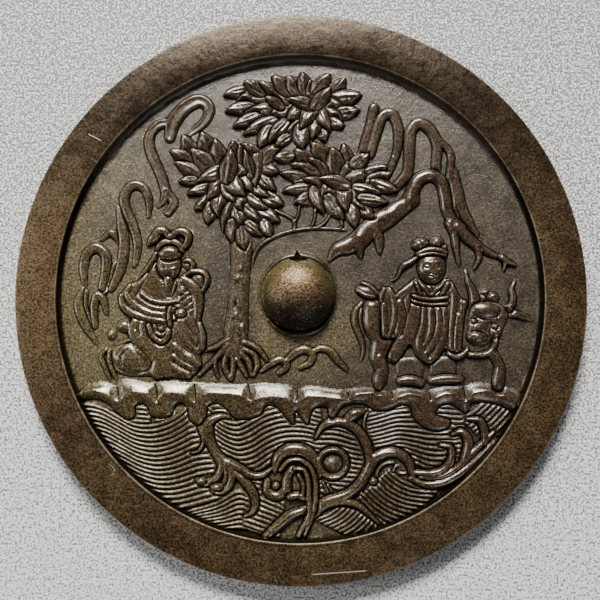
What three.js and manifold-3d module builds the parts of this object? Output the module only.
// Cast bronze mirror: a thick round plate with a flat polished face below and, on its back,
// a raised plain rim, a pierced domed knob and a scene in relief: a leafy tree, a bare branch,
// a seated figure among cloud streamers, a standing attendant with an ox, a scalloped bank
// and a sea of combed waves under curling crests. The one casting is parted at the knob's
// foot, which keeps the cord's way through the knob clear. Millimetres, +Z up, +Y to the top
// of the scene. The origin is the middle of the polished face, which lies downwards.

import * as THREE from 'three';
import { mergeVertices } from 'three/addons/utils/BufferGeometryUtils.js';
import Module from 'manifold-3d';

// Driving sizes
const outerDiameter = 210;
const rimWidth = 15.3;
const rimThickness = 7.5;
const fieldThickness = 4;
const faceEdgeChamfer = 0.6;
const rimEdgeChamfer = 0.5;
const rimWallDraft = 0.5;
const knobDiameter = 27.5;
const knobFootHeight = 2.2;
const knobHeight = 11;
const cordHoleWidth = 6.4;
const cordHoleHeight = 5.6;

// Heights of the relief above the field
const leafHeight = 1.6;
const leafStep = 0.2;
const leafTurns = 3;
const leafFront = 5;
const leafBreadth = 1.1;
const trunkHeight = 1.5;
const barkHeight = 1.9;
const rootHeight = 1.4;
const branchHeight = 1.7;
const twigHeight = 1.1;
const streamerHeight = 1.5;
const robeHeight = 1.3;
const foldHeight = 2;
const softHeight = 1.6;
const handHeight = 2.2;
const headHeight = 2.3;
const legHeight = 1;
const beastHeight = 1.5;
const bankHeight = 1.5;
const bankCrestHeight = 2.2;
const crestHeight = 2.1;
const waveHeight = 0.9;
const waveFloor = 0.15;

// How far relief runs down into the plate, and how finely the round forms are divided
const sinkDepth = 0.9;
const footDepth = 0.25;
const foldFoot = 0.9;
const slabSlope = 0.6;
const bankSlope = 0.4;
const plateSides = 52;
const knobSides = 24;
const ringSides = 16;
const domeSteps = 4;
const archSteps = 5;
const ridgeStep = 5.8;
const wavePitch = 4.2;
const sameSpot = 1e-4;

const outerRadius = outerDiameter / 2;
const fieldRadius = outerRadius - rimWidth;
const knobRadius = knobDiameter / 2;

// The scene is laid out on a sheet with about a hundred units to the field's radius.
// The knob's axis stands a little off the sheet's zero.
const sheet = { radius: 99.1, knobU: -0.9, knobV: 1.7 };
const unit = fieldRadius / sheet.radius;

const at = ([u, v]) => new THREE.Vector3((u - sheet.knobU) * unit, (v - sheet.knobV) * unit, 0);

const wasm = await Module();
wasm.setup();

function toSolid(geometry) {
  geometry.deleteAttribute('normal');
  geometry.deleteAttribute('uv');
  const merged = mergeVertices(geometry, sameSpot);
  const index = merged.index.array;
  const triangles = [];
  for (let i = 0; i < index.length; i += 3) {
    const [a, b, c] = index.slice(i, i + 3);
    if (a !== b && b !== c && c !== a) triangles.push(a, b, c);
  }
  return new wasm.Manifold(new wasm.Mesh({
    numProp: 3,
    vertProperties: new Float32Array(merged.attributes.position.array),
    triVerts: new Uint32Array(triangles),
  }));
}

function toGeometry(solid) {
  const mesh = solid.getMesh();
  const geometry = new THREE.BufferGeometry();
  geometry.setAttribute('position', new THREE.BufferAttribute(mesh.vertProperties, 3));
  geometry.setIndex(new THREE.BufferAttribute(mesh.triVerts, 1));
  geometry.computeVertexNormals();
  return geometry;
}

// Moves every vertex of a geometry by a rule
function reshape(geometry, rule) {
  const position = geometry.attributes.position;
  const vertex = new THREE.Vector3();
  for (let i = 0; i < position.count; i += 1) {
    vertex.fromBufferAttribute(position, i);
    rule(vertex);
    position.setXYZ(i, vertex.x, vertex.y, vertex.z);
  }
  return geometry;
}

// Value along a list of evenly spaced values
function along(values, t) {
  const place = t * (values.length - 1);
  const i = Math.min(Math.floor(place), values.length - 2);
  return values.length === 1 ? values[0] : THREE.MathUtils.lerp(values[i], values[i + 1], place - i);
}

const curveThrough = (points) => new THREE.CatmullRomCurve3(points.map(at), false, 'centripetal');

// A ridge along a curved path: a sphere with four meridians is drawn out, so that its
// meridians become two feet just under the surface, a crest above and a keel inside the plate.
// The flare makes the ridge as wide as asked for where it comes out of the surface.
function ridge({ path, widths, height, base = 0, stations }) {
  const curve = curveThrough(path);
  const rows = stations ?? Math.max(2, Math.round(curve.getLength() / ridgeStep));
  const shape = new THREE.SphereGeometry(1, 4, rows);
  const foot = fieldThickness + base - footDepth;
  const flare = (height - base + footDepth) / (height - base);
  return toSolid(reshape(shape, (vertex) => {
    const t = Math.acos(THREE.MathUtils.clamp(vertex.y, -1, 1)) / Math.PI;
    const onCurve = curve.getPointAt(t);
    const heading = curve.getTangentAt(t);
    const girth = Math.hypot(vertex.x, vertex.z);
    const atPole = girth < sameSpot;
    const side = atPole ? 0 : Math.round(vertex.x / girth);
    const lift = atPole ? 0 : Math.round(vertex.z / girth);
    const across = side * along(widths, t) * flare * unit / 2;
    vertex.x = onCurve.x - heading.y * across;
    vertex.y = onCurve.y + heading.x * across;
    vertex.z = foot;
    if (lift === 1) vertex.z = fieldThickness + height;
    if (lift === -1) vertex.z = fieldThickness - sinkDepth;
  }));
}

// A low dome on an elliptical foot
function mound({ middle, radii: [radiusU, radiusV], height }) {
  const centre = at(middle);
  const shape = new THREE.SphereGeometry(1, 6, 4);
  shape.rotateX(Math.PI / 2);
  return toSolid(reshape(shape, (vertex) => {
    const rise = vertex.z > 0 ? height : sinkDepth;
    vertex.x = centre.x + vertex.x * radiusU * unit;
    vertex.y = centre.y + vertex.y * radiusV * unit;
    vertex.z = fieldThickness + vertex.z * rise;
  }));
}

// A flat raised area whose edge slopes from the field up to its top
function slab(outline, height, slope = slabSlope) {
  const shape = new THREE.Shape(outline.map(at));
  const rise = height + footDepth;
  const solid = new THREE.ExtrudeGeometry(shape, {
    depth: footDepth,
    bevelThickness: rise,
    bevelSize: slope,
    bevelOffset: -slope,
    bevelSegments: 1,
  });
  solid.translate(0, 0, fieldThickness - 2 * footDepth);
  return toSolid(solid);
}

// Plate, rim and knob

function plateSolid() {
  const wallFoot = fieldRadius - rimWallDraft;
  const profile = [
    [0, 0],
    [outerRadius - faceEdgeChamfer, 0],
    [outerRadius, faceEdgeChamfer],
    [outerRadius, rimThickness - rimEdgeChamfer],
    [outerRadius - rimEdgeChamfer, rimThickness],
    [fieldRadius + rimEdgeChamfer, rimThickness],
    [fieldRadius, rimThickness - rimEdgeChamfer],
    [wallFoot, fieldThickness],
    [0, fieldThickness],
  ];
  const lathe = new THREE.LatheGeometry(profile.map(([r, z]) => new THREE.Vector2(r, z)), plateSides);
  lathe.rotateX(Math.PI / 2);
  return toSolid(lathe);
}

// The knob stands on the field
function knobSolid() {
  const profile = [[0, fieldThickness], [knobRadius, fieldThickness]];
  profile.push([knobRadius, fieldThickness + knobFootHeight]);
  const domeHeight = knobHeight - knobFootHeight;
  for (let i = 1; i <= domeSteps; i += 1) {
    const angle = (i / domeSteps) * Math.PI / 2;
    const radius = i === domeSteps ? 0 : knobRadius * Math.cos(angle);
    profile.push([radius, fieldThickness + knobFootHeight + domeHeight * Math.sin(angle)]);
  }
  const lathe = new THREE.LatheGeometry(profile.map(([r, z]) => new THREE.Vector2(r, z)), knobSides);
  lathe.rotateX(Math.PI / 2);
  return toSolid(lathe);
}

// The cord passes through the knob from top to bottom of the scene, on the field's level
function cordHoleSolid() {
  const half = cordHoleWidth / 2;
  const spring = cordHoleHeight - half;
  const arch = new THREE.Shape();
  arch.moveTo(-half, 0);
  arch.lineTo(half, 0);
  arch.lineTo(half, spring);
  arch.absarc(0, spring, half, 0, Math.PI);
  arch.closePath();
  const length = knobDiameter + cordHoleWidth;
  const bore = new THREE.ExtrudeGeometry(arch, {
    depth: length,
    bevelEnabled: false,
    curveSegments: archSteps,
  });
  bore.rotateX(Math.PI / 2);
  bore.translate(0, length / 2, fieldThickness);
  return toSolid(bore);
}

// Leaves, each from its tip to its root with its width, in sprays from the back forwards

const crownSpray = [
  [-32, 84, -22, 86, 4.6], [-26, 82.5, -13, 84.5, 5.4], [-31.3, 77.4, -20, 79.2, 5],
  [-23.3, 77, -8, 77.5, 5.8], [-13, 75.3, -2, 80.5, 5.2], [-28, 70.8, -18, 75.5, 4.6],
  [-24, 67.8, -11, 73.8, 5], [-23.5, 89.8, -16, 85, 5.2], [-17.8, 89.7, -6, 81.5, 5.2],
  [-12, 92.2, -5, 85, 5.6], [-6, 92, 0, 84, 6.2], [-14.8, 83.5, -8, 79, 4],
  [-17, 62.5, -13, 70.5, 5], [-13.5, 64.7, -6, 73, 4.6], [-6.3, 66.3, 1, 73, 4.4],
  [-5.8, 73.7, 2, 79.5, 5.2], [0.3, 93.7, 1.5, 85.5, 5], [3.5, 90.5, 5, 81, 4.8],
  [11.8, 93.2, 5.5, 86, 5.4], [18, 91.3, 12, 84, 5.4], [25, 84.3, 14, 83, 6],
  [17.5, 79.5, 9, 81.5, 4.8], [24.2, 78.2, 15, 76.8, 5], [17, 74.2, 11, 77.5, 4.4],
  [18, 71.5, 12, 73.5, 4.2], [10.2, 65.2, 8, 72, 4.8], [4.5, 66, 6.8, 74, 4.8],
  [0.8, 62, 0, 71, 6], [-10.5, 63, -5, 67, 4], [12.3, 69.3, 7, 79, 4.8],
  [0, 70, 5.5, 79.5, 5.4], [-6, 82.5, 6, 79.2, 4.8], [12.2, 87.5, 5.5, 79.5, 5.4],
];
const leftSpray = [
  [-49, 67.9, -44.5, 59, 5.4], [-41, 69, -38, 60, 6.2], [-35.5, 66.5, -34, 54, 6.4],
  [-28, 65.5, -28.5, 59, 3.6], [-45.5, 62.3, -37, 53, 6.4], [-54, 61.5, -46, 57, 4.8],
  [-52, 56.8, -42, 50.5, 5.2], [-50.5, 48.5, -43, 49, 3.6], [-47, 43.3, -37, 46.5, 4.2],
  [-43.8, 37, -35, 42, 5.2], [-38.5, 31, -36, 39.5, 5.2], [-34, 34, -33.3, 43.5, 5.6],
  [-32.3, 28, -28, 39.5, 4.8], [-23.5, 28, -26.5, 37, 5.4], [-21.5, 36.3, -27, 43, 5.2],
  [-28.2, 23.2, -28.6, 32, 4.4], [-23, 20.4, -24.2, 29, 5.2], [-14.8, 32.2, -22, 38, 5.2],
  [-8.5, 32.2, -16.5, 37, 4.8], [-15.5, 26.5, -22, 31.5, 4.4], [-12.3, 26, -15.3, 32, 4.6],
  [-13.2, 37.3, -20.5, 42.5, 5.2], [-7, 39.2, -15, 43, 5.2], [-13, 42.2, -20, 47, 4],
  [-20, 44.3, -23.5, 51.5, 4.4], [-10.2, 45, -17.5, 51.5, 4.8], [-9, 52.6, -16.5, 55, 4.8],
  [-8.5, 64.5, -17.5, 57, 5.6], [-24.4, 64.4, -17.5, 58, 5], [-25.5, 64, -24, 55, 4],
  [-18.7, 46, -18.3, 59, 4.8], [-23.5, 62, -20.8, 51, 4], [-22, 52.3, -29, 54.5, 4.4],
  [-38.5, 41, -31, 50, 5.6], [-27.3, 40, -31, 48, 5.2], [-23, 42.7, -30, 50, 6],
  [-43, 48.3, -31, 53.5, 5.2], [-28.8, 62, -31, 49.5, 6.4],
];
const rightSpray = [
  [4, 64.7, 11, 57, 6], [17, 64.5, 19.5, 56, 4.2], [12.5, 63, 14.5, 52, 6.4],
  [-2.7, 62, 4, 56, 5.2], [3.2, 58.5, 9.5, 50, 6], [-4.5, 56, 6.5, 51, 5.2],
  [-8.9, 52, 2, 49.8, 4.4], [-3, 48.5, 8, 45.3, 4.4], [0.5, 50, 11, 45.8, 4.8],
  [-8, 44.5, 4, 45.6, 4.4], [-3.2, 40, 6, 42, 5], [9.5, 35.5, 5, 45.5, 5],
  [11.5, 40.3, 11.5, 47, 5.6], [17.7, 32.8, 11, 42, 5.6], [29.9, 33.4, 24.5, 39, 4.8],
  [22.3, 29.5, 21, 39, 5.2], [26, 37, 21, 47, 5.6], [18.7, 36, 17.8, 47, 5.6],
  [21.9, 58.2, 17.5, 50, 5], [28, 60, 21.5, 55.5, 5.2], [30, 54, 18.5, 48.5, 5.6],
  [36, 55, 27.5, 53, 4], [37.5, 52.5, 28, 49, 4.8], [40.2, 44.8, 30, 48.3, 4.8],
  [33.2, 44, 22.5, 46.5, 4.6], [36, 40.3, 24.5, 42, 4.6], [-11, 58, -4, 59, 4.6],
  [7.2, 50, 19, 46.8, 5.2],
];

// A leaf is broad at its middle and pointed at its tip and root. Neighbours take turns in
// height, and the last few of a spray lie over the others.
function leafSpray(leaves) {
  const inFront = leaves.length - leafFront;
  return leaves.map(([tipU, tipV, rootU, rootV, width], i) => ridge({
    path: [[tipU, tipV], [(tipU + rootU) / 2, (tipV + rootV) / 2], [rootU, rootV]],
    widths: [width * leafBreadth],
    height: leafHeight + leafStep * (i % leafTurns + (i >= inFront ? 1 : 0)),
    stations: 2,
  }));
}

// Tree, branches and roots

const trunkOutline = [
  [-28.5, 28], [-28.3, 22], [-29.8, 10], [-30.7, 0], [-30.7, -10], [-32, -17], [-30, -21], [-26, -22],
  [-22, -19], [-22.3, -8], [-21.8, 5], [-20.3, 15], [-19.3, 22], [-20.5, 28],
];
const barkFolds = [
  [[-27.5, 24], [-27.8, 12], [-29, 0], [-29, -12], [-31, -19]],
  [[-24.5, 25], [-25, 15], [-24.6, 4], [-25, -6], [-25.5, -17], [-27, -22]],
  [[-21.2, 24], [-22, 14], [-23.2, 4], [-23.5, -8], [-23.3, -18], [-20, -22]],
];
const roots = [
  [[-30, -16.5], [-35, -19.5], [-40, -20.8]],
  [[-30, -18.5], [-34, -23], [-38, -27], [-42, -31]],
  [[-29, -20], [-31, -24], [-31.5, -28], [-29, -32.5]],
  [[-28, -20], [-27.8, -26], [-28.5, -32.5]],
  [[-27, -20], [-24, -22.5], [-21.5, -26], [-20.5, -31]],
  [[-26.5, -24.5], [-24, -28.5], [-22.3, -31.5]],
  [[-23, -20.5], [-19.5, -22.5], [-18, -26.5], [-19.3, -31]],
  [[-23, -17.5], [-18, -20], [-14, -25]],
];
const bareTwigs = [
  [[-21, 15], [-17.5, 21.5], [-12, 25.5], [-4, 28.3], [6, 29.5], [18.5, 28.8]],
  [[-2.6, 28.5], [-3, 32.5], [-10.5, 36.8]],
  [[-3, 31.5], [-1.5, 34], [-0.6, 38.5]],
  [[4, 29.5], [5.5, 33], [5.9, 38.5]],
  [[6, 29.5], [9.5, 31.5], [12.3, 35.5]],
];
const boughs = [
  { widths: [1.5, 4, 5.5, 6, 7, 6, 6.5, 5], path: [[10.5, 15.5], [17, 21.5], [23, 23.8], [29, 29.5],
    [36, 35.5], [46, 41]] },
  { widths: [5, 4.5, 4, 4, 3.6, 3], path: [[44, 39.5], [46, 45], [48.5, 49.5], [53.5, 51.2], [57.5, 48.5],
    [59.3, 42], [60, 37], [62.5, 32.5], [66, 29.5]] },
  { widths: [4, 2.6, 1], path: [[22, 23.5], [24, 21], [24.7, 17.3]] },
  { widths: [3.6, 3, 1.6], path: [[31, 29], [32.3, 24.5], [31.2, 19]] },
  { widths: [3, 2.4, 1.2], path: [[61, 31.5], [63, 27], [63.6, 22], [65, 14.5]] },
  { widths: [3, 2.6, 2.4, 1], path: [[64, 30], [68, 25], [72.5, 21], [73.3, 17], [71.2, 12.8]] },
  { widths: [3.4, 2.6, 2.2, 1.2], path: [[64, 30], [71, 24], [77, 19.5], [84, 17]] },
  { widths: [2, 1.8, 0.8], path: [[82.5, 17.4], [85, 15.5], [88.5, 14.2]] },
  { widths: [1.8, 1.4, 0.6], path: [[83, 17.4], [84, 15], [83.2, 12]] },
  { widths: [2.4, 2.8, 3.2, 3, 2.8, 2.4], path: [[-54.5, 73], [-59, 71.8], [-62.5, 66.5], [-61.7, 60.5],
    [-59.3, 55], [-57, 49.5], [-55.4, 44], [-52.3, 40], [-54.8, 36]] },
  { widths: [2.4, 2, 0.8], path: [[-55.6, 44.5], [-56.5, 41], [-58.6, 38.6]] },
];

// Cloud streamers: loops beside the tree, and the trail at the left edge

const streamers = [
  { widths: [3.4, 4.4, 4.6, 4, 3.4, 2.6, 1.2], path: [[-54, 67], [-52.8, 72.5], [-48, 79], [-42, 82],
    [-38.3, 80], [-38, 76.5], [-40.5, 72.5], [-46, 68.2]] },
  { widths: [2.8], path: [[30, 79], [28.5, 72], [26.5, 65], [25, 58.5]] },
  { widths: [2.8, 3, 3.2, 2.6, 2], path: [[28.5, 60], [31, 68.5], [34, 75.8], [37, 76.6], [39.6, 72],
    [39.6, 62], [37, 54]] },
  { widths: [3, 3.2, 3.4, 3.4, 3, 2.6], path: [[39.5, 46.8], [43.6, 52], [44.5, 60], [45.3, 69.5],
    [48.5, 72.7], [53, 70], [56, 64], [55.6, 56], [56, 50]] },
  { widths: [1.8, 2, 1.6], path: [[57, 65.5], [61.5, 60], [61.2, 51], [62.4, 41], [64, 34]] },
  { widths: [2, 3.2, 3, 1], path: [[63, 53], [64.5, 45], [66.5, 37], [72.6, 26.8]] },
  { widths: [1.4, 2.6, 3, 3.2, 3.2, 3, 2.4, 1], path: [[-68.5, 14], [-67.3, 22], [-69.3, 31], [-72.5, 38.5],
    [-72.6, 43], [-69.5, 47], [-65.5, 46.5], [-62.7, 41.5], [-62.8, 34]] },
  { widths: [1.6, 3.4, 3.6, 3.4, 3], path: [[-75, 36.5], [-74, 31], [-72.9, 24], [-74, 14], [-78, 4.5]] },
  { widths: [3.4, 2.6, 1], path: [[-74, 24], [-78, 27.5], [-82, 25.5]] },
  { widths: [2.4, 3.2, 3.6, 3.2, 2.6], path: [[-89, 4], [-89.6, 13], [-87.8, 19.3], [-84.3, 21.4],
    [-80.6, 18.5], [-80.4, 12], [-82, 5]] },
  { widths: [2, 3.2, 3.4, 2.8, 1], path: [[-90.5, 4], [-91.6, -1], [-90.3, -7], [-87.5, -12.5],
    [-84, -18]] },
  { widths: [1.6, 2.4, 2.6, 1.2], path: [[-84.8, -11], [-85.2, -3], [-83.8, 1.8], [-81.8, 0.5],
    [-80, -5.5]] },
];
const groundCurls = [
  { widths: [1.2, 2.6, 2.4, 2], path: [[-16.5, -29.5], [-12, -26], [-8, -24.6], [-5.8, -27.3], [-9, -30]] },
  { widths: [2, 3, 3, 2.6, 1.6], path: [[-5.8, -25], [-2, -21.6], [1.8, -20.4], [4.6, -22.3], [4, -25.5],
    [-0.5, -28]] },
  { widths: [1.6, 2.4, 2.8, 2.4, 1.2], path: [[4.6, -21.2], [8.5, -20], [12, -21.2], [14.6, -24.6],
    [19, -29]] },
];

// Seated figure in a robe: body, sleeves, lap and folds, and hair in two knots over a cap

const seatedOutline = [
  [-50, 9], [-46.5, 8.5], [-43, 4], [-41.2, -1], [-41, -7], [-40.2, -13], [-40.2, -20], [-42.5, -22.8],
  [-38.5, -26], [-38, -30], [-45, -33], [-54, -32.4], [-62, -31.4], [-72, -31.5], [-78, -29], [-79, -23],
  [-75.5, -17.5], [-73, -14], [-70.5, -11], [-66, -9.2], [-71, -6], [-75.3, -1.5], [-73.5, 2], [-66, 3.5],
  [-60, 6.5], [-57.5, 9.5],
];
const seatedFolds = [
  { widths: [1.8], path: [[-57.5, 10], [-56.3, 5.5], [-53, 2], [-51.5, 6], [-50.8, 9.5]] },
  { widths: [2, 3, 2], path: [[-49, 8.5], [-46, 6], [-43.5, 1], [-43.4, -5], [-42.5, -10]] },
  { widths: [1.4, 2.2, 2, 1.4], path: [[-66, 3.5], [-61.5, 0.6], [-55, -0.8], [-50, -0.4]] },
  { widths: [1.4, 2, 1.8], path: [[-67, 0.8], [-62, -2], [-55.5, -3], [-50.5, -2.6]] },
  { widths: [1.4, 2.4, 2.4, 1.8], path: [[-74, -0.5], [-70, -4.4], [-64, -6], [-55.5, -5.6]] },
  { widths: [1.4, 2.2, 2.2, 1.6], path: [[-69, -7.5], [-64, -9.4], [-58, -9.9], [-53.6, -10.3]] },
  { widths: [2.6], path: [[-54, -3.5], [-52.8, -7], [-53.3, -11]] },
  { widths: [2, 3, 3.4, 2], path: [[-51, -9], [-49, -15.5], [-45.8, -20], [-42.5, -22]] },
  { widths: [1.4, 2.2, 1.6], path: [[-47, -5], [-44, -12], [-42, -19]] },
  { widths: [1.4, 2, 2, 2, 1.4], path: [[-64, -10.5], [-62, -15], [-58.5, -17.8], [-55.3, -16],
    [-54, -11]] },
  { widths: [1.2, 1.8, 1.2], path: [[-61, -11], [-58.5, -14.6], [-55.5, -13]] },
  { widths: [1.4, 2.2, 1.8], path: [[-67, -10], [-64, -15], [-60.5, -20], [-59.5, -29]] },
  { widths: [1.6, 2.4, 2], path: [[-70.5, -11], [-68.8, -16.5], [-64.5, -20.5], [-62, -27]] },
  { widths: [1.8, 2.2, 2], path: [[-56.5, -18.5], [-56.8, -25], [-57.5, -31]] },
  { widths: [1.6, 2.2, 1.4], path: [[-53.5, -21], [-48, -25], [-39, -27.3]] },
  { widths: [1.6, 2.2, 1.4], path: [[-53.2, -24.5], [-48, -28.5], [-40, -30.2]] },
  { widths: [1.6, 2, 1.4], path: [[-53.4, -28.5], [-49.5, -31], [-45, -32.3]] },
  { widths: [1.6, 2, 0.8], path: [[-59, 20], [-62.3, 14], [-65.3, 8], [-68.5, 2.5]] },
  { widths: [1.2], path: [[-82.5, -22], [-80, -27], [-78.5, -33]] },
  { widths: [1.2], path: [[-79.5, -19.5], [-77.3, -25], [-75.5, -31.5]] },
];
const seatedHair = [
  { widths: [2, 2.2, 2], path: [[-59.6, 18.5], [-58.5, 22.5], [-54.5, 24.6], [-50.3, 22.3], [-49.3, 18]] },
  { widths: [2, 3.2, 3, 2], path: [[-63.5, 23], [-60.5, 27.5], [-57.3, 29.3], [-54.3, 26]] },
  { widths: [2, 3, 3.2, 2], path: [[-54.3, 26], [-50.5, 29.3], [-46.5, 28.3], [-45.3, 25], [-48.5, 21.8]] },
];
const seatedMounds = [
  { middle: [-54.4, 15], radii: [5.2, 7], height: headHeight },
  { middle: [-71, -23], radii: [6.8, 6.8], height: foldHeight },
  { middle: [-72.5, -11], radii: [3.2, 2.8], height: softHeight },
  { middle: [-78, -14], radii: [2.8, 2.2], height: robeHeight },
  { middle: [-46.2, 13.8], radii: [2.6, 2.8], height: softHeight },
  { middle: [-42.2, 8], radii: [3.8, 3.8], height: softHeight },
  { middle: [-50.3, -6.5], radii: [2.2, 2], height: handHeight },
];

// Standing attendant: head with two round hair knots, crossed lapels, belt, sleeves and skirt

const attendantOutline = [
  [48.3, 8.5], [44.5, 5], [40.5, 3.2], [36, 6.3], [33.2, 5], [33.5, -3], [33, -10], [32.3, -16], [37, -17],
  [41, -15.5], [38.8, -21], [35, -25], [39, -26.7], [45, -19], [49, -23], [52.5, -26.3], [56, -24.8],
  [59, -21], [61.5, -24], [66, -23.4], [68.2, -20], [66.8, -12], [67.8, -2], [65.5, 4], [62, 8], [58.5, 9.3],
];
const attendantFolds = [
  { widths: [2], path: [[48.5, 9], [50.5, 6], [53, 3], [55.5, 6], [57.5, 9]] },
  { widths: [2, 2.6, 1.6], path: [[48.5, 8.5], [44.8, 5.5], [40.5, 2.6]] },
  { widths: [2, 2.6, 2], path: [[58.5, 9], [62.5, 6.8], [64.5, 3], [62.5, -4], [62, -12], [62, -20]] },
  { widths: [1.6], path: [[45.8, 1.2], [53, 0.7], [60.5, 1.2]] },
  { widths: [1.6], path: [[46, -1.6], [53, -2], [60.5, -1.6]] },
  { widths: [1.6, 2.4, 1.6], path: [[35.8, 5], [38.2, 0], [38.3, -6], [35.3, -15.5]] },
  { widths: [1.4, 1.8, 1.2], path: [[66.8, -1], [66, -8], [65.7, -18]] },
  { widths: [1.8, 2.4, 1.8], path: [[60.5, -21], [62.8, -23.3], [65.5, -22.8], [68, -20]] },
  { widths: [1.4, 2.2, 1.4], path: [[45.5, -3], [42.5, -12], [39, -21], [36, -25]] },
  { widths: [1.2, 1.8, 1.2], path: [[49.5, -3], [48, -12], [45.8, -18.5]] },
  { widths: [1.2, 1.8, 1.4], path: [[53, -3], [53.2, -13], [50, -22]] },
  { widths: [1.2, 1.8, 1.4], path: [[57, -3], [57.8, -12], [56.5, -19], [53, -25]] },
  { widths: [1.8, 2.8, 1.2], path: [[48, 17.8], [45, 15.8], [41.8, 14.8], [39.8, 11], [36.8, 7.8]] },
  { widths: [1.6], path: [[48, 18.6], [53.5, 20.8], [59, 18.6]] },
];
const attendantLimbs = [
  { widths: [3, 4.6, 4, 2.6], path: [[21.5, 6], [25, 4], [30, 2], [36, 3]] },
  { widths: [1.8, 2, 1.6], path: [[24.5, 7.8], [28, 6.5], [32, 3.5]] },
  { widths: [3.6], path: [[39.3, -33.3], [45, -33.2], [50, -33.7]] },
  { widths: [3.6], path: [[52.8, -33.4], [60, -33], [67, -33.2]] },
];
const attendantLegs = [
  [[40.5, -22], [49.3, -22], [49, -32.5], [40, -32.5]],
  [[54, -22], [62.8, -22], [62.6, -32.5], [53.5, -32.5]],
];
const attendantMounds = [
  { middle: [53.5, 13], radii: [6, 6.8], height: headHeight },
  { middle: [48.4, 22.6], radii: [3.2, 2.6], height: foldHeight },
  { middle: [55.6, 23.2], radii: [2.9, 2.8], height: foldHeight },
];

// Ox behind the attendant: rump and hind leg, head with horns, dewlap and front leg

const rumpOutline = [
  [22, -3], [26, -1], [30, 0.2], [34, -2], [34, -10], [33.5, -16], [38, -17.5], [36.3, -21.5], [34.4, -25],
  [35.8, -31], [30, -31], [29, -26], [28, -21], [28.3, -16], [25.5, -10], [23.5, -7],
];
const oxHeadOutline = [
  [69.5, -3], [73, -1.5], [80, -2], [85, -4.5], [85, -9], [82, -13.5], [78.5, -15.5], [77.5, -19],
  [73, -20.5], [69, -19.5], [68, -15], [68.7, -9],
];
const oxRidges = [
  { widths: [1.6, 2.8, 2.8, 2.2, 1.2], path: [[25, -1.5], [21.8, -6], [22, -12], [25.3, -18], [25.3, -23],
    [24.2, -27.5]] },
  { widths: [2, 4, 4, 3.4], path: [[30, -1.5], [31, -8], [31.5, -15], [31, -21], [32.5, -29]] },
  { widths: [1.2, 2.6, 3.4], path: [[67.3, 12.5], [69, 7.5], [70.8, 3], [71.5, -2]] },
  { widths: [1.2, 2.2, 2.8, 3], path: [[88.3, 7.8], [86.2, 3.5], [87.3, -0.5], [86, -3.3], [82.5, -4.3]] },
  { widths: [3, 3.6, 2.4], path: [[84.5, -5.5], [89.5, -6.8], [95, -9]] },
  { widths: [2.6, 3.4, 2.2], path: [[72, -6.5], [76.5, -5], [82.5, -7.5]] },
  { widths: [3, 4, 4.4, 3], path: [[77, -8], [75.5, -11.5], [73.5, -15]] },
  { widths: [2.2, 2.6, 2.4], path: [[81, -13.5], [80.5, -18.3], [76.5, -21.9], [68.8, -21.8]] },
  { widths: [3, 3.4, 3.4], path: [[77.8, -21.5], [80.5, -25.5], [82.2, -31]] },
];
const oxMounds = [
  { middle: [32.6, -33.3], radii: [3.4, 3.2], height: foldHeight },
  { middle: [81.8, -33], radii: [2.6, 3.2], height: softHeight },
  { middle: [76.5, 1.5], radii: [3.6, 3], height: softHeight },
  { middle: [72.6, -17.2], radii: [4, 3.2], height: headHeight },
];

// Bank: a band with hanging lobes below and a rolled, scalloped upper face

const bankOutline = [
  [-92, -38], [-84, -37], [-76, -38.6], [-60, -39.4], [-43, -39.4], [-21, -39.6], [19, -39.4], [53, -39.4],
  [68, -39.3], [78, -38], [90.5, -41.5], [88, -45.5], [82, -43.3], [74, -41.7], [69.5, -42.6], [67.5, -46.5],
  [64, -43.8], [60, -42.4], [56, -44], [54.5, -47.5], [60.5, -49], [61, -52.3], [57, -54], [51, -52.8],
  [46.8, -49], [44.5, -43.3], [36, -45.2], [30.5, -45.5], [26, -42.8], [20, -42.4], [16, -45],
  [13, -48.6], [11, -44.4], [5.5, -44.4], [2.8, -51.3], [-1.8, -45.8], [-3, -51.3], [-8, -45.4],
  [-14.8, -43.6], [-17, -47.5], [-26.5, -48.8], [-30.5, -44.5], [-35, -42], [-38.2, -43.8],
  [-39.4, -49.5], [-45.6, -49.5], [-46.8, -44.3], [-49.5, -42], [-52, -43.8], [-54, -48], [-61.5, -47.8],
  [-62.8, -44], [-65.5, -42.3], [-68.2, -44], [-69, -48.8], [-73, -48.2], [-80, -41.8], [-85, -40.3],
  [-90.5, -40.6],
];
const bankScallops = [
  [[-91, -38.6], [-84, -37.2], [-79, -39], [-75, -42]],
  [[-75, -41], [-69.5, -37.8], [-64, -38.6], [-59.5, -43]],
  [[-60, -42], [-57, -38.8], [-49, -38.8], [-44, -42.5]],
  [[-44.5, -42.3], [-40, -38.4], [-30, -38.5], [-20.5, -41.8]],
  [[-21.5, -41.7], [-14, -40], [-7, -40.4], [-1.5, -42]],
  [[-3, -41.8], [3, -39.5], [11, -40], [19.5, -41]],
  [[18.5, -40.8], [24, -38.4], [31, -38], [37, -41]],
  [[36.5, -41], [44, -38.5], [49, -39.5], [53, -42]],
  [[52.5, -41.8], [58, -38.6], [63, -39], [67.5, -42.4]],
  [[67, -42], [71.5, -38], [79, -37.6], [86.5, -43]],
];

// Sea: combed waves in sheets between an upper and a lower line, and the crests over them

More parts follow.
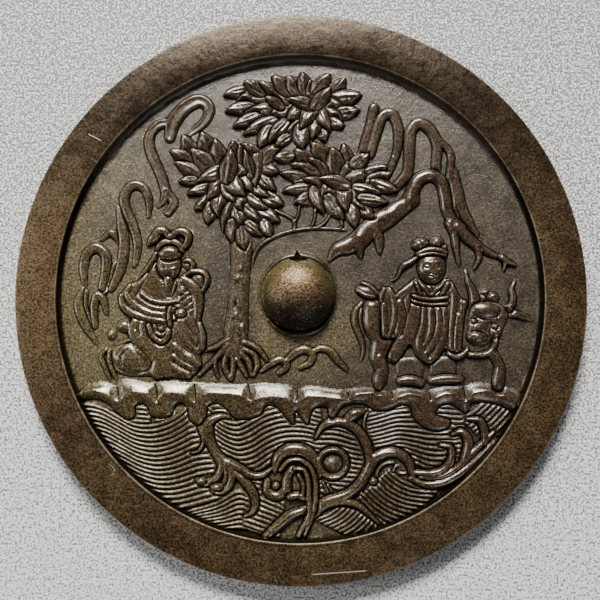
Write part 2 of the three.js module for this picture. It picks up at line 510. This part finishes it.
const waveSheets = [
  { upper: [[-91, -42], [-84, -42.6], [-77, -46], [-68, -48.6], [-58, -47.4], [-50, -44.2],
    [-37, -39]], lower: [[-72, -82], [-66, -83], [-62, -84], [-58, -84.3], [-53, -84], [-48, -82.8],
    [-38, -78]] },
  { upper: [[-46, -79.7], [-41, -77.8], [-36, -76], [-31, -74.8], [-26, -74.3], [-21, -75]],
    lower: [[-44, -99], [-38, -97.5], [-33, -96.3], [-28, -95.6], [-23, -96], [-18, -97.5]] },
  { upper: [[-38, -43.5], [-32, -48.5], [-26.5, -49.8], [-22, -47.5], [-16, -44], [-9, -42.4],
    [0, -43], [8, -45]], lower: [[-35, -68], [-29, -70.5], [-24.5, -72.3], [-19, -71.8], [-13, -68],
    [-7, -65], [1, -64], [10, -66]] },
  { upper: [[-21, -72.5], [-16, -74.5], [-6, -79]], lower: [[-24, -93], [-17, -95.5],
    [-9, -98]] },
  { upper: [[6, -51.5], [14, -51.5], [21, -53.5], [27, -55.5]], lower: [[8, -79.5],
    [14, -80.5], [19, -81], [25, -80.5]] },
  { upper: [[25.5, -45.5], [31, -44], [37, -42], [43, -40.5], [50, -40], [57, -40.3], [68, -41.5]],
    lower: [[30, -68], [36, -67], [42, -66], [48, -68.3], [53, -70.5], [59, -70.8], [66, -69]] },
  { upper: [[66, -49], [71, -45], [76, -40.5]], lower: [[76.5, -60], [83, -55.5], [90, -48]] },
  { upper: [[36.5, -69.5], [41.5, -73.5], [48, -76], [58, -76.5]], lower: [[22, -83],
    [28, -89], [34, -93], [42, -96]] },
  { upper: [[3, -89], [9, -87], [13.5, -83.5]], lower: [[25, -100], [29.5, -96], [34, -91]] },
];
const seaCrests = [
  { widths: [6, 5.4, 4.4, 4, 4, 4.4], path: [[-40.5, -48], [-39, -53.5], [-37, -58.5], [-34.5, -63.3],
    [-30, -68]] },
  { widths: [3, 2.2, 0.8], path: [[-40.5, -53], [-41.8, -58], [-43.4, -62.8]] },
  { widths: [3.4, 3.2, 2.8, 1.2], path: [[-32.5, -66.5], [-33, -71], [-35.8, -74.3], [-40, -75],
    [-46, -73]] },
  { widths: [2.4, 3.2, 3.8, 2.4], path: [[-31.3, -68], [-31.8, -73], [-33.8, -76.8], [-38.2, -77]] },
  { widths: [2.4, 3, 3, 1.4], path: [[-29.3, -69], [-28, -74], [-29, -78.5], [-32.3, -81.2],
    [-36, -81.6]] },
  { widths: [4, 3.8, 3, 1.4], path: [[-31, -66], [-26.5, -69.2], [-22, -71.7], [-17.5, -72.2],
    [-10.5, -68]] },
  { widths: [2.4, 3.4, 3, 2.4, 1], path: [[-27.5, -70.5], [-23.3, -74.5], [-20.3, -79], [-19.2, -84],
    [-20.8, -88], [-25, -89.3]] },
  { widths: [2, 4, 4.6, 4.6, 4, 3.6], path: [[-10.8, -70.5], [-9.6, -65.2], [-6, -62], [-1.5, -61.4],
    [3, -63], [6, -67], [7, -72]] },
  { widths: [2.4, 3.6, 4, 3.6, 2.6], path: [[-14, -74.5], [-13.8, -78.8], [-9.8, -80.6], [-6.2, -78.3],
    [-5.8, -73.5], [-3.5, -69.5]] },
  { widths: [1.8, 1.8, 2, 2.2, 2, 1.4], path: [[-8.5, -70], [-5, -66.2], [-1, -65.6], [3.2, -68],
    [5.6, -73], [6, -80], [5, -88], [1.5, -97]] },
  { widths: [1.4, 2, 2.4, 2.6, 2], path: [[-2.5, -69.5], [1, -69.8], [2.8, -74], [3.2, -81], [3.4, -88],
    [-1, -97]] },
  { widths: [1.4, 1.8, 1.2], path: [[-1, -72], [0.8, -76], [0.6, -82]] },
  { widths: [3, 3, 1.6], path: [[-4.5, -81], [-1.5, -80.4], [1.5, -82]] },
  { widths: [3, 4, 4.2, 3], path: [[3, -86], [-4, -88.6], [-9.5, -93], [-14.5, -97.5]] },
  { widths: [2.6, 3.4, 4.2, 4, 4, 4.2, 4, 3.4, 1.8], path: [[3, -87.5], [10, -83], [18.5, -80.3],
    [24, -76], [27.6, -70], [30, -65.6], [34.5, -63], [39.5, -63], [44, -66.3], [46.2, -73.5]] },
  { widths: [3, 3.2, 2.8, 1], path: [[4, -89.5], [9.5, -85], [16, -83], [23, -84.3], [32, -92]] },
  { widths: [3.6, 3.6, 3.4, 3.2, 1.2], path: [[28.6, -66], [26.9, -59.5], [23.8, -54.3], [19, -51],
    [13, -50.2], [8.8, -52.3], [6, -57]] },
  { widths: [3, 4.6, 1], path: [[18, -51], [21, -47.7], [26.8, -45.3]] },
  { widths: [2.4, 3, 3, 2.8, 1.4], path: [[47.5, -71], [54, -71.3], [59.2, -69.2], [62, -64.5],
    [61.3, -60.6], [57.5, -59.7]] },
  { widths: [2, 3.6, 3.8, 3.6, 2], path: [[45, -73.5], [51, -75.8], [58, -75.3], [66, -71],
    [73, -65.3], [80, -57.5]] },
  { widths: [1.6, 3, 3.4, 2], path: [[49, -73], [57, -72.9], [65, -68.6], [72, -61.5], [79, -54.5]] },
  { widths: [3, 3.8, 3.6, 3, 1.4], path: [[66.5, -67], [68.4, -62], [68.4, -57], [65.8, -54.2],
    [62.2, -55.4]] },
  { widths: [2.6, 3, 2.8, 1.4], path: [[75.5, -59], [75.3, -53.5], [73.2, -49.6], [68.5, -49]] },
];
const crestRing = { centre: [13, -67.3], radius: 5.3, width: 3.6 };

// A comb of waves drawn between two lines: crest and trough take turns down the sheet
function waveSheet({ upper, lower }) {
  const upperLine = curveThrough(upper);
  const lowerLine = curveThrough(lower);
  const span = upperLine.getPoint(0.5).distanceTo(lowerLine.getPoint(0.5));
  const stations = Math.max(3, Math.round(upperLine.getLength() / (2 * ridgeStep)));
  const strips = 2 * Math.max(2, Math.round(span / wavePitch));
  const sheetBox = new THREE.BoxGeometry(1, 1, 1, stations, strips, 1);
  return toSolid(reshape(sheetBox, (vertex) => {
    const strip = Math.round((0.5 - vertex.y) * strips);
    const from = upperLine.getPoint(vertex.x + 0.5);
    const to = lowerLine.getPoint(vertex.x + 0.5);
    const top = fieldThickness + (strip % 2 ? waveHeight : waveFloor);
    const place = from.lerp(to, strip / strips);
    vertex.set(place.x, place.y, vertex.z > 0 ? top : fieldThickness - sinkDepth);
  }));
}

function ringSolid({ centre, radius, width }) {
  const inner = (radius - width / 2) * unit;
  const outer = (radius + width / 2) * unit;
  const floor = fieldThickness - sinkDepth;
  const profile = [[inner, floor], [outer, floor], [(inner + outer) / 2, fieldThickness + crestHeight]];
  profile.push(profile[0]);
  const lathe = new THREE.LatheGeometry(profile.map(([r, z]) => new THREE.Vector2(r, z)), ringSides);
  lathe.rotateX(Math.PI / 2);
  const middle = at(centre);
  lathe.translate(middle.x, middle.y, 0);
  return toSolid(lathe);
}

const ridges = (list, height, more = {}) => list.map((item) => ridge({ ...item, height, ...more }));

// Plain paths that share their widths
const paths = (list, widths) => list.map((path) => ({ path, widths }));

const relief = [
  ...waveSheets.map(waveSheet),
  ...ridges(seaCrests, crestHeight),
  ringSolid(crestRing),
  slab(bankOutline, bankHeight, bankSlope),
  ...ridges(paths(bankScallops, [6.4, 8, 8, 6.4]), bankCrestHeight, { stations: 4 }),
  slab(trunkOutline, trunkHeight),
  ...ridges(paths(barkFolds, [1.4, 2, 2, 1.4]), barkHeight, { base: foldFoot, stations: 5 }),
  ...ridges(paths(roots, [2.8, 2.4, 1.4]), rootHeight),
  ...[crownSpray, leftSpray, rightSpray].flatMap(leafSpray),
  ...ridges(boughs, branchHeight),
  ...ridges(paths(bareTwigs, [1.6, 1.8, 1.2]), twigHeight),
  ...ridges(streamers, streamerHeight),
  ...ridges(groundCurls, streamerHeight),
  slab(seatedOutline, robeHeight),
  ...ridges(seatedFolds, foldHeight, { base: foldFoot }),
  ...ridges(seatedHair, foldHeight),
  ...seatedMounds.map(mound),
  slab(attendantOutline, robeHeight),
  ...ridges(attendantFolds, foldHeight, { base: foldFoot }),
  ...ridges(attendantLimbs, foldHeight),
  ...attendantLegs.map((outline) => slab(outline, legHeight)),
  ...attendantMounds.map(mound),
  slab(rumpOutline, beastHeight),
  slab(oxHeadOutline, beastHeight),
  ...ridges(oxRidges, foldHeight),
  ...oxMounds.map(mound),
];

const discWithRelief = relief.reduce((solid, piece) => solid.add(piece), plateSolid());
const piercedKnob = knobSolid().subtract(cordHoleSolid());

const bronze = new THREE.MeshStandardMaterial({ color: 0x6b5a3c, roughness: 0.42, metalness: 0.9 });
const disc = new THREE.Mesh(toGeometry(discWithRelief), bronze);
disc.name = 'disc';
const knob = new THREE.Mesh(toGeometry(piercedKnob), bronze);
knob.name = 'knob';

const part = new THREE.Group();
part.add(disc);
part.add(knob);
export default part;
